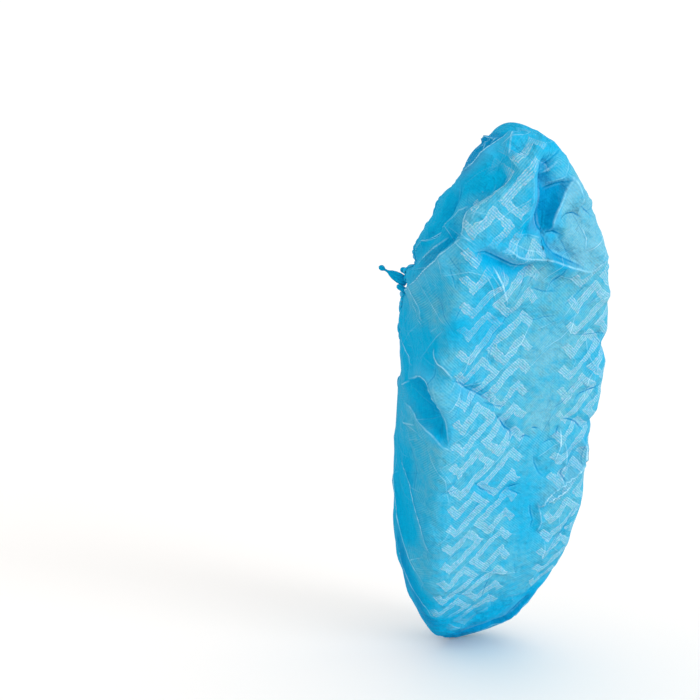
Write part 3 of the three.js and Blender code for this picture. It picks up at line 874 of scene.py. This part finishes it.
hem_cover = Cover(HEM_COLUMNS)
levels = np.linspace(-1, 1, HEM_RINGS)
for level in levels:
    hem_cover.wall(np.full(HEM_COLUMNS, HEM_MIDDLE + HEM_HALF_HEIGHT * level))
hem_base, hem_from_rim, _, hem_flat = hem_cover.grids()
hem_normals = grid_normals(hem_base, False)
hem_turn = np.arange(HEM_COLUMNS) / HEM_COLUMNS
bunch = np.exp(-(((hem_turn - BUNCH_AT) / BUNCH_WIDTH) ** 2))
crowd = hem_turn.copy()
for swings, size, shift in CROWDED:
    crowd += size * np.sin(2 * pi * swings * hem_turn + shift)
varied = 1 - DEPTH_VARIATION + DEPTH_VARIATION * np.sin(2 * pi * DEPTH_SWINGS * hem_turn)
pleat = np.cos(2 * pi * PLEATS * crowd) * varied
stray = EDGE_STRAY * np.sin(2 * pi * EDGE_SWINGS * hem_turn)
scallop = np.cos(2 * pi * PLEATS / 2 * crowd + stray)
hem_folds = crease_cloth(hem_flat, CREASES)[0] + crease_cloth(hem_flat, CRUMPLES)[0]
hem_folds += swell_cloth(hem_flat)
hem_folds += gather_cloth(HEM_COLUMNS, hem_from_rim)
hem_folds += (PLEAT_DEPTH + BUNCHED_PLEAT * bunch) * MM * pleat
hem_middle = hem_base + hem_normals * hem_folds[..., None]
upward = unit(hem_middle[0] - hem_middle[-1])
rise = (SCALLOP_DEPTH + BUNCHED_SCALLOP * bunch) * MM * scallop
hem_middle += upward * rise[:, None] * ((1 - levels) / 2)[:, None, None]
thick = HEM_HALF_THICK * np.sqrt(np.maximum(1 - levels**2, HEM_EDGE_SHARE**2))[:, None, None]
hem_normals = grid_normals(hem_middle, False)
hem_tube = np.concatenate([hem_middle + hem_normals * thick, (hem_middle - hem_normals * thick)[::-1]])
hem_marks = {"pleat": np.tile(pleat, (2 * HEM_RINGS, 1))}
hem_uv = np.concatenate([hem_flat, hem_flat[::-1]])
hem = cloth_mesh("gathered_hem_cloth", place(hem_tube), hem_uv, hem_marks, "looped")

# The hem gets little painted sheen. Its ridges get a painted highlight, and the hollows between them
# painted shade.
HEM_SHEEN = 0.05
hem_cloth = Shader("gathered blue hem")
hem_color, hem_relief, *_ = bonded_cloth(hem_cloth, HEM_SHEEN)
hem_ridge = hem_cloth.attribute("pleat")
hem_color = hem_cloth.mix(hem_cloth.ramp(hem_ridge, 0.3, 1, 0, 0.35), hem_color, CREASE_HIGHLIGHT)
hem_color = hem_cloth.mix(hem_cloth.ramp(hem_ridge, 0, -0.8, 0, 0.8), hem_color, GRAIN_AND_SHADE_BLUE)
hem_cloth.finish(hem_color, hem_relief)
hem.data.materials.append(hem_cloth.material)
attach(hem, "root")
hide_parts("gathered_hem")

# --------------------------------------------------------------------
# Loose end of the hem: where the bag is closed, the hem runs out into a twisted tuft of cloth that narrows
# to a thin neck and ends in a small knot. Three short tufts stand beside it.
TAIL_SIDES = 48
TAIL_STEPS = 60
TAIL_PLEATS = 7
TAIL_TWIST = 0.4
TAIL_FLATNESS = 0.6
TAIL_CURL = 0.8 * MM
TAIL_RADIUS = 3 * MM
TAIL_SHADE = 0.35

# Along and radius in mm, and the depth of the pleats as a share of the radius.
TAIL_PROFILE = [
    (0.0, 2.2, 0.03), (2.0, 2.7, 0.05), (5.0, 2.6, 0.08), (8.0, 2.2, 0.1),
    (10.2, 1.5, 0.1), (11.6, 0.8, 0.08), (12.6, 0.6, 0.05), (13.8, 0.65, 0.05),
    (14.5, 1.2, 0.05), (15.7, 1.55, 0.05), (16.8, 1.1, 0.04), (17.3, 0.3, 0),
]
FINGER_PROFILE = [
    (0.0, 0.6, 0), (1.0, 1.2, 0.1), (4.0, 1.4, 0.1),
    (6.6, 1.5, 0.1), (7.6, 1.1, 0.1), (8.1, 0.3, 0),
]

# The root of each short tuft and a point it leads to, in mm from the root of the tail.
FINGERS = [
    ((1.5, -1.0, -5.7), (-4.8, -1.5, -1.9)),
    ((4.0, -1.0, -11.6), (-2.4, -1.5, -7.6)),
    ((4.0, 0.0, 4.2), (-2.8, 0.0, 6.9)),
]

# From the corners of the tail's box, at the hem and at the knot, to the ends of the tail's middle line.
ROOT_INSET = (0.5 * MM, -2.5 * MM, 3.6 * MM)
TIP_INSET = (2.9 * MM, 2 * MM, 0.9 * MM)


def tuft(name, root, tip, profile):
    """A twist of cloth from its root towards its tip."""
    axis = unit(tip - root)
    one = unit(np.cross(axis, (0, 1, 0)))
    two = np.cross(axis, one)
    profile = np.array(profile)
    along = np.linspace(0, profile[-1, 0], TAIL_STEPS)
    radius, lobe = (np.interp(along, profile[:, 0], profile[:, k]) for k in (1, 2))
    turn = np.linspace(0, 2 * pi, TAIL_SIDES, endpoint=False)
    ring = TAIL_PLEATS * (turn + TAIL_TWIST * along[:, None] / along[-1])
    size = radius[:, None] * (1 + lobe[:, None] * (np.cos(ring) + 0.4 * np.cos(2 * ring + 1)))
    curl = TAIL_CURL * np.sin(pi * along / along[-1])
    centre = root + axis * (along * MM)[:, None] + two * curl[:, None]
    around = np.cos(turn)[:, None] * one + TAIL_FLATNESS * np.sin(turn)[:, None] * two
    grid = centre[:, None] + MM * size[..., None] * around
    flat = np.stack(np.meshgrid(turn * TAIL_RADIUS, along * MM), -1)
    return cloth_mesh(name, grid, flat, {"pleat": TAIL_SHADE * np.cos(ring)}, "open")


tail_low, tail_high = (np.array(corner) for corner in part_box("hem_tail"))
tail_root = np.array([tail_high[0], tail_high[1], tail_low[2]]) + ROOT_INSET
tail_tip = np.array([tail_low[0], tail_low[1], tail_high[2]]) + TIP_INSET
tail = tuft("hem_tail_cloth", tail_root, tail_tip, TAIL_PROFILE)
for ends in FINGERS:
    finger_root, finger_tip = tail_root + np.array(ends) * MM
    finger = tuft("finger", finger_root, finger_tip, FINGER_PROFILE)
    with bpy.context.temp_override(active_object=tail, selected_editable_objects=[tail, finger]):
        bpy.ops.object.join()
tail.data.materials.append(hem_cloth.material)
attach(tail, "root")
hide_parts("hem_tail")

# --------------------------------------------------------------------
# Tread: a paler anti-slip film printed on the sole in two bands of interlocking angular bars, which runs on
# over the edges of the sole and creases with the cloth.
BAR_WIDTH = 4.3 * MM
BAR_STEP = 0.55 * MM
FILM_HEIGHT = 0.05 * MM
FILM_EDGE = -0.025 * MM
FILM_ROOT = -0.1 * MM
ROW_PITCH = 26.6 * MM
ROWS = 12
FIRST_ROW = (-21.5 * MM, -156 * MM, 0)
SECOND_BAND = (62.5 * MM, -5 * MM, 0)

# One bar's middle line in mm: a hook, an arm, the closed end, the arm back and another hook.
BAR_LINE = [(-21, 3), (-16, 9.5), (-6.5, -1), (1.5, 6.5), (-15, 23), (-21, 17)]

# Places across a bar's face and root, as shares of half its width, and where its outline starts.
ACROSS = [-1, -0.85, -0.5, -0.17, 0.17, 0.5, 0.85, 1]
ACROSS_ROOT = [1, 0.5, 0.17, -0.17, -0.5, -1]
OUTLINE_FROM = 0.8

# How the film's outline wavers: scale of the noise and size.
WOBBLES = [(130, 4 * MM), (420, 1.6 * MM)]


def tread_bar():
    """One bar of the print laid flat: a thin strip with sunk edges and mitred corners."""
    line = np.array(BAR_LINE) * MM
    lengths = np.linalg.norm(np.diff(line, axis=0), axis=1)
    ways = unit(np.diff(line, axis=0))
    sides = np.stack([-ways[:, 1], ways[:, 0]], 1)
    joint = sides[:-1] + sides[1:]
    joint /= (joint * sides[1:]).sum(1, keepdims=True)
    mitres = np.vstack([sides[:1], joint, sides[-1:]])
    rows = []
    for k, length in enumerate(lengths):
        steps = max(int(length / BAR_STEP), 2)
        for t in np.arange(steps + (k == len(lengths) - 1)) / steps:
            centre = line[k] + (line[k + 1] - line[k]) * t
            mitre = mitres[k] + (mitres[k + 1] - mitres[k]) * t
            rows.append((centre, mitre))
    section = [(s, FILM_EDGE if abs(s) == 1 else FILM_HEIGHT) for s in ACROSS]
    section += [(s, FILM_ROOT) for s in ACROSS_ROOT]
    points, faces = [], []
    for centre, mitre in rows:
        points += [(*(centre + mitre * s * BAR_WIDTH / 2), z) for s, z in section]
    n = len(section)
    for r in range(len(rows) - 1):
        for k in range(n):
            a, b = r * n + k, r * n + (k + 1) % n
            faces.append((b, a, a + n, b + n))
    faces.append(tuple(range(n)))
    faces.append(tuple(reversed(range((len(rows) - 1) * n, len(rows) * n))))
    mesh = bpy.data.meshes.new("tread_print")
    mesh.from_pydata(points, [], faces)
    on_top = [k < len(ACROSS) - 1 for k in range(n)] * (len(rows) - 1) + [False, False]
    mesh.polygons.foreach_set("use_smooth", on_top)
    outline = mesh.attributes.new("outline", "FLOAT", "POINT")
    outline.data.foreach_set("value", [float(abs(s) > OUTLINE_FROM) for s, _ in section] * len(rows))
    bar = bpy.data.objects.new("tread_print", mesh)
    bpy.context.collection.objects.link(bar)
    return bar


def tread_layout():
    """Node tree: lays the bars out flat in rows and bands, and wraps them onto the cloth by its UV map."""
    tree = bpy.data.node_groups.new("tread layout", "GeometryNodeTree")
    sockets = [
        ("Geometry", "Geometry"), ("Cloth", "Object"), ("Rows", "Int"), ("Row Pitch", "Float"),
        ("First Row", "Vector"), ("Second Band", "Vector"), ("Film", "Material"),
    ]
    for name, kind in sockets:
        tree.interface.new_socket(name=name, in_out="INPUT", socket_type="NodeSocket" + kind)
    tree.interface.new_socket(name="Geometry", in_out="OUTPUT", socket_type="NodeSocketGeometry")
    entry = tree.nodes.new("NodeGroupInput").outputs

    def node(kind, inputs=(), **settings):
        return add_node(tree, kind, inputs, **settings)

    def vector(operation, values):
        return node("ShaderNodeVectorMath", values, operation=operation).outputs[0]

    def attribute(name, kind):
        return node("GeometryNodeInputNamedAttribute", {"Name": name}, data_type=kind).outputs[0]

    def stored(geometry, name, value, **settings):
        content = {"Geometry": geometry, "Name": name, "Value": value}
        return node("GeometryNodeStoreNamedAttribute", content, **settings).outputs[0]

    step = node("ShaderNodeCombineXYZ", {"Y": entry["Row Pitch"]}).outputs[0]
    line = {"Count": entry["Rows"], "Start Location": entry["First Row"], "Offset": step}
    rows = node("GeometryNodeMeshLine", line, mode="OFFSET").outputs[0]
    facing = []
    for turn in ((0, 0, 0), (0, 0, pi)):
        row = {"Points": rows, "Instance": entry["Geometry"], "Rotation": turn}
        facing.append(node("GeometryNodeInstanceOnPoints", row).outputs[0])
    band = node("GeometryNodeJoinGeometry", {0: facing}).outputs[0]
    moved = {"Geometry": band, "Translation": entry["Second Band"]}
    beside = node("GeometryNodeTransform", moved).outputs[0]
    both = node("GeometryNodeJoinGeometry", {0: [band, beside]}).outputs[0]
    laid = node("GeometryNodeRealizeInstances", {"Geometry": both}).outputs[0]
    spot = node("GeometryNodeInputPosition").outputs[0]
    for scale, size in WOBBLES:
        noise = node("ShaderNodeTexNoise", {"Vector": spot, "Scale": scale}).outputs["Color"]
        centred = vector("SUBTRACT", {0: noise, 1: (0.5, 0.5, 0.5)})
        aside = vector("MULTIPLY", {0: centred, 1: (size, size, 0)})
        laid = node("GeometryNodeSetPosition", {"Geometry": laid, "Offset": aside}).outputs[0]
    marked = stored(laid, "cloth", spot, data_type="FLOAT2", domain="CORNER")
    cloth_face = node("GeometryNodeObjectInfo", {"Object": entry["Cloth"]}).outputs["Geometry"]
    cloth_map = attribute("cloth", "FLOAT_VECTOR")

    def on_cloth(value, kind):
        """A value of the cloth's at the same place of its UV map, and whether there is one."""
        source = {"Mesh": cloth_face, "Value": value, "Source UV Map": cloth_map, "Sample UV": spot}
        return node("GeometryNodeSampleUVSurface", source, data_type=kind).outputs

    place_found = on_cloth(spot, "FLOAT_VECTOR")
    normal_found = on_cloth(node("GeometryNodeInputNormal").outputs[0], "FLOAT_VECTOR")
    for key in marks:
        value = on_cloth(attribute(key, "FLOAT"), "FLOAT")["Value"]
        marked = stored(marked, key, value, data_type="FLOAT", domain="POINT")
    missed = node("FunctionNodeBooleanMath", {0: place_found["Is Valid"]}, operation="NOT").outputs[0]
    kept = node("GeometryNodeDeleteGeometry", {"Geometry": marked, "Selection": missed}).outputs[0]
    height = node("ShaderNodeSeparateXYZ", {0: spot}).outputs["Z"]
    lift = vector("SCALE", {0: normal_found["Value"], "Scale": height})
    seated = vector("ADD", {0: place_found["Value"], 1: lift})
    wrapped = node("GeometryNodeSetPosition", {"Geometry": kept, "Position": seated}).outputs[0]
    film = node("GeometryNodeSetMaterial", {"Geometry": wrapped, "Material": entry["Film"]}).outputs[0]
    leave = tree.nodes.new("NodeGroupOutput")
    tree.links.new(film, leave.inputs["Geometry"])
    return tree


# The bars are wrapped onto a copy of the cloth's outer face, which has no thickness.
outer_face = bpy.data.objects.new("outer_face", body.data.copy())
bpy.context.collection.objects.link(outer_face)
bar = tread_bar()
layout = bar.modifiers.new("layout", "NODES")
layout.node_group = tread_layout()
sockets = layout.node_group.interface.items_tree
inputs = {item.name: item.identifier for item in sockets if item.in_out == "INPUT"}
values = {
    "Cloth": outer_face, "Rows": ROWS, "Row Pitch": ROW_PITCH, "First Row": FIRST_ROW,
    "Second Band": SECOND_BAND, "Film": creased_cloth("pale anti-slip film", True),
}
for name, value in values.items():
    layout[inputs[name]] = value
bpy.context.view_layer.update()
printed = bpy.data.meshes.new_from_object(bar.evaluated_get(bpy.context.evaluated_depsgraph_get()))
bar.modifiers.clear()
bar.data = printed
bpy.data.objects.remove(outer_face)
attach(bar, "root")

# --------------------------------------------------------------------
# Floor and light: a white studio with a broad key from the right.
FLOOR_GAP = 0.3 * MM
FLOOR_SIZE = 12
FLOOR_WHITE = (0.90, 0.88, 0.86, 1)

floor_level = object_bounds()[0][2] - FLOOR_GAP
bpy.ops.mesh.primitive_plane_add(size=FLOOR_SIZE, location=(0, 0, floor_level))
floor = bpy.context.object
floor.name = "floor"
floor_paint = bpy.data.materials.new("pale floor")
floor_paint.use_nodes = True
floor_surface = floor_paint.node_tree.nodes["Principled BSDF"]
floor_surface.inputs["Base Color"].default_value = FLOOR_WHITE
floor_surface.inputs["Roughness"].default_value = 0.6
floor.data.materials.append(floor_paint)

world = bpy.data.worlds.new("studio")
bpy.context.scene.world = world
world.use_nodes = True
world.node_tree.nodes["Background"].inputs["Color"].default_value = (1, 1, 1, 1)
world.node_tree.nodes["Background"].inputs["Strength"].default_value = 1.06

sun = bpy.data.lights.new("key", "SUN")
sun.energy = 1.6
sun.angle = radians(30)
key = bpy.data.objects.new("key", sun)
key.rotation_euler = Vector((-0.75, 0.7, -0.27)).to_track_quat("-Z", "Y").to_euler()
bpy.context.collection.objects.link(key)
